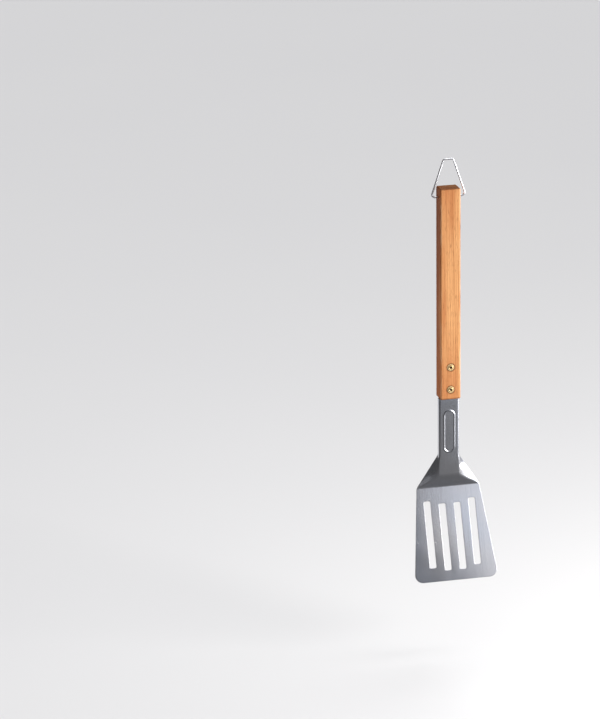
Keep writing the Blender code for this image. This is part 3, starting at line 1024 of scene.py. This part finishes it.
# %% Set both fastenings
HOLLOW_SHADE = 0.0002
rivet_material = brass("brass_rivet", HOLLOW_RADIUS + HOLLOW_SHADE, HEAD_RADIUS)
ring_material = brass("brass_washer", RIM_RADIUS, RING_OUTER)
for place, height in RIVET_HEIGHTS.items():
    rivet = turned("rolled_rivet_" + place, rivet_profile(), False, height)
    rivet.data.materials.append(rivet_material)
    fit(rivet, "rivet_" + place, "spatula")
    ring = turned("brass_ring_" + place, ring_profile(), True, height)
    ring.data.materials.append(ring_material)
    fit(ring, "rivet_washer_" + place, "spatula")

# %% [markdown]
# ## The hanging loop
# One length of wire is bent into a tall narrow loop, and its two ends turn in and spring into the
# cross hole. A curve with a round bevel is the natural way to make wire, because the bends stay arcs
# and the wire stays one thickness round them. The curve is then kept as a mesh, so that its cut ends
# are closed and it can be looked at like every other piece. It is the only piece that moves.

# %% The hanging loop
WIRE_RADIUS = 0.0010
TOP_CORNER = 0.0058
FOOT_CORNER = 0.02095
FOOT_END = 0.00425
TOP_BEND = 0.0025
FOOT_BEND = 0.0035
TOP_STEPS = 20
FOOT_STEPS = 24
WIRE_SHARP = math.radians(50)


def loop_route():
    """The wire's middle line, from inside one side of the handle to inside the other."""
    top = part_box("hanging_loop")[1].z - WIRE_RADIUS
    start = Vector((FOOT_END, 0, pivot.z))
    foot = Vector((FOOT_CORNER, 0, pivot.z))
    shoulder = Vector((TOP_CORNER, 0, top))
    crown = Vector((0, 0, top))
    half = [start] + arc(start, foot, shoulder, FOOT_BEND, FOOT_STEPS)
    half += arc(foot, shoulder, crown, TOP_BEND, TOP_STEPS)
    return half + [Vector((-point.x, 0, point.z)) for point in reversed(half)]


def bent_wire():
    curve = bpy.data.curves.new("route", "CURVE")
    curve.dimensions = "3D"
    curve.bevel_depth = WIRE_RADIUS
    curve.bevel_resolution = 8
    curve.use_fill_caps = True
    route = loop_route()
    spline = curve.splines.new("POLY")
    spline.points.add(len(route) - 1)
    for point, place in zip(spline.points, route):
        point.co = (*place, 1)
    guide = bpy.data.objects.new("route", curve)
    bpy.context.scene.collection.objects.link(guide)
    graph = bpy.context.evaluated_depsgraph_get()
    mesh = bpy.data.meshes.new_from_object(guide.evaluated_get(graph))
    bpy.data.objects.remove(guide)
    bm = bmesh.new()
    bm.from_mesh(mesh)
    bmesh.ops.remove_doubles(bm, verts=bm.verts, dist=SAME_PLACE)
    bmesh.ops.recalc_face_normals(bm, faces=bm.faces)
    loop = new_piece("bent_wire_loop", bm)
    loop.data.shade_smooth()
    loop.data.set_sharp_from_angle(angle=WIRE_SHARP)
    length = sum((end - start).length for start, end in zip(route, route[1:]))
    print("the loop is bent from", round(length * 1000, 1), "mm of wire")
    return loop


loop = bent_wire()
loop.data.materials.clear()
loop.data.materials.append(wire_material)
fit(loop, "hanging_loop", "hanging_loop")

# %% [markdown]
# ## The floor
# The tool hangs above a plain pale floor. A curved backdrop would hide the horizon from one side, but
# it would stand in the way from every other. A wide floor under a pale sky works from all of them.

# %% A plain pale floor
FLOOR_DROP = 0.085
FLOOR_HEIGHT = sheet_low.z - FLOOR_DROP
FLOOR_REACH = 60.0
FLOOR_COLOUR = (0.69, 0.69, 0.69)
FLOOR_CLOUD = (0.67, 0.67, 0.675)


def pale_floor():
    material, finish, place = new_finish("pale_floor")
    cloud = finish.noise(place, (1.5, 1.5, 1.5), 2.0)
    colour = finish.mix(cloud, FLOOR_COLOUR, FLOOR_CLOUD)
    coat(material, {"Specular IOR Level": 0.0, "Roughness": 0.75}, {"Base Color": colour})
    bm = bmesh.new()
    bmesh.ops.create_circle(bm, cap_ends=True, segments=64, radius=FLOOR_REACH)
    floor = new_piece("floor", bm)
    floor.location.z = FLOOR_HEIGHT
    floor.data.materials.append(material)
    floor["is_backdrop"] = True


pale_floor()

# %% [markdown]
# ## The camera
# The tool is seen from a little to its left and a little above, from far enough away that its sides
# stay almost parallel. The camera could be aimed with a constraint, but then nothing could sit off
# the middle of the frame. So it is first aimed straight at a point on the handle, and then turned a
# few degrees, left and up, which slides the tool to the right of the frame without bending it.

# %% The camera
AZIMUTH = math.radians(16.13)
ELEVATION = math.radians(17.79)
DISTANCE = 4.677
AIM = Vector((0, 0, -0.250))
TURN_LEFT = math.radians(2.124)
TURN_UP = math.radians(0.1074)
LENS = 240.0
SENSOR = 36.0


def place_camera():
    forward = Vector((
        math.sin(AZIMUTH) * math.cos(ELEVATION),
        math.cos(AZIMUTH) * math.cos(ELEVATION),
        -math.sin(ELEVATION),
    ))
    data = bpy.data.cameras.new("camera")
    data.sensor_fit = "HORIZONTAL"
    data.sensor_width = SENSOR
    data.lens = LENS
    camera = bpy.data.objects.new("camera", data)
    bpy.context.scene.collection.objects.link(camera)
    camera.location = AIM - forward * DISTANCE
    aim = forward.to_track_quat("-Z", "Y").to_matrix()
    turn = Matrix.Rotation(TURN_LEFT, 3, "Y") @ Matrix.Rotation(TURN_UP, 3, "X")
    camera.rotation_euler = (aim @ turn).to_euler()
    bpy.context.scene.camera = camera
    print("lens", data.lens, "mm at", [round(value, 3) for value in camera.location])


place_camera()

# %% [markdown]
# ## Soft studio light
# Steel shows what stands round it more than its own colour. Even light from everywhere would turn it
# into pale card. So a wide sun, as soft as a bright window, comes over the back on the right and fills
# the floor. A large soft box stands on the right and lights the wood. A small one near the front is
# turned a little, like a leaning window, and the blade mirrors its edge as a slope from light to dark.
# A third, low on the right, brightens the edges on that side.

# %% Soft lights
BOX_SPREAD = math.radians(140)
FRONT_ROLL = math.radians(26)


def aim_light(light, place, target):
    light.location = place
    light.rotation_euler = (Vector(target) - Vector(place)).to_track_quat("-Z", "Y").to_euler()
    bpy.context.scene.collection.objects.link(light)
    light.visible_camera = False


def soft_box(name, place, target, size, power, colour):
    """A rectangle of light at a place, facing a target, with its size in metres and power in watts."""
    data = bpy.data.lights.new(name, "AREA")
    data.shape = "RECTANGLE"
    data.size, data.size_y = size
    data.spread = BOX_SPREAD
    data.energy = power
    data.color = colour
    light = bpy.data.objects.new(name, data)
    aim_light(light, place, target)
    print(name, "of", size, "m gives", power, "W")
    return light


def wide_sun(name, place, strength, width):
    data = bpy.data.lights.new(name, "SUN")
    data.energy = strength
    data.angle = math.radians(width)
    aim_light(bpy.data.objects.new(name, data), place, (0, 0, 0))


wide_sun("window", place=(1.0, 0.75, 1.5), strength=2.35, width=50)
WARM_WHITE = (1.0, 0.985, 0.97)
COOL_WHITE = (0.97, 0.98, 1.0)
AMBER_WHITE = (1.0, 0.97, 0.94)
soft_box("right box", (1.15, -0.80, -0.02), (0, 0, -0.25), (0.9, 1.0), 19.0, WARM_WHITE)
front_box = soft_box(
    "front box", (0.238, -0.36, -0.350), (0.03, -0.01, -0.38), (0.22, 0.36), 0.160, COOL_WHITE
)
front_box.rotation_euler.rotate_axis("Z", FRONT_ROLL)
soft_box("edge box", (0.70, -0.15, -0.40), (0, 0, -0.20), (0.16, 0.34), 0.6, AMBER_WHITE)

# %% [markdown]
# ## Cards that keep light away
# In a studio, steel is darkened with black card that is held just out of view. The room could be made
# dark instead, but then the wood would lose its fill light too. A card works on the reflection alone:
# these two cast no shadow and light nothing, and the camera looks straight through them. The black one
# stands on the left and darkens that shoulder. The grey one lies in front, and the channel mirrors it.

# %% Cards that keep light away
def card(name, size, turn, place, grey):
    """A card that only a reflection sees: it casts no shadow and the camera looks through it."""
    material, finish, texture_place = new_finish(name)
    mottle = finish.noise(texture_place, (8, 8, 8), 2.0)
    paler = grey * 1.1
    shade = finish.mix(mottle, (grey, grey, grey), (paler, paler, paler))
    coat(material, {"Roughness": 0.9}, {"Base Color": shade})
    bm = bmesh.new()
    bmesh.ops.create_grid(bm, x_segments=1, y_segments=1, size=0.5)
    bmesh.ops.transform(bm, matrix=Matrix.Diagonal((*size, 1, 1)), verts=bm.verts)
    piece = new_piece(name, bm)
    piece.rotation_euler = turn
    piece.location = place
    piece.data.materials.append(material)
    piece.visible_camera = False
    piece.visible_shadow = False
    piece.visible_diffuse = False
    piece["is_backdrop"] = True


UPRIGHT = (0, math.pi / 2, 0)
LYING = (0, 0, 0)
CARD_LIFT = 0.01
card("black_card", size=(0.75, 1.5), turn=UPRIGHT, place=(-0.50, -0.40, -0.21), grey=0.035)
card("grey_card", size=(1.8, 2.2), turn=LYING, place=(0.05, -0.95, FLOOR_HEIGHT + CARD_LIFT), grey=0.10)

# %% [markdown]
# ## The room
# A world can be one colour, but a slow change from one side to the other is what gives round edges
# their shape. This room is bright on the right and overhead, dim in front, and warm at the far left,
# as if other wooden handles hung there. The camera alone sees a plain pale sky, because a backdrop
# that changes from side to side would draw the eye from the tool.

# %% The room
ROOM_DIM = (0.090, 0.090, 0.096)
ROOM_BRIGHT = (0.78, 0.80, 0.84)
ROOM_WARM = (0.74, 0.50, 0.37)
SKY = (0.66, 0.665, 0.675)


def room_light():
    world = bpy.data.worlds.new("room")
    world.use_nodes = True
    bpy.context.scene.world = world
    room = Finish(world.node_tree)
    direction = room.add("ShaderNodeTexCoord", {}, {}, "Generated")
    x, _, z = direction.split()
    overhead = z.between(0.45, 1.0) * 0.6
    bright = x.between(0.10, 1.0).at_least(overhead)
    far_left = 1 - x.between(-0.97, -0.70)
    colour = room.mix(bright, ROOM_DIM, ROOM_BRIGHT)
    colour = room.mix(far_left, colour, ROOM_WARM)
    seen = room.add("ShaderNodeLightPath", {}, {}, "Is Camera Ray")
    background = world.node_tree.nodes["Background"]
    room.plug(background.inputs["Color"], room.mix(seen, colour, SKY))
    print("the room has", len(world.node_tree.nodes), "nodes")


room_light()
bpy.context.scene.view_settings.view_transform = "Standard"

# %% [markdown]
# ## Last checks
# The looks may never change the object's size. The box that came with the frame and the box of what
# was made here are set side by side, and how far each corner moved is printed.

# %% Compare the boxes and finish
visual_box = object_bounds()
sizes = {
    "cad": [list(corner) for corner in cad_box],
    "visual": [list(corner) for corner in visual_box],
}
for before, after in zip(sizes["cad"], sizes["visual"]):
    print("box corner moved by", [round((b - a) * 1000, 3) for a, b in zip(before, after)], "mm")
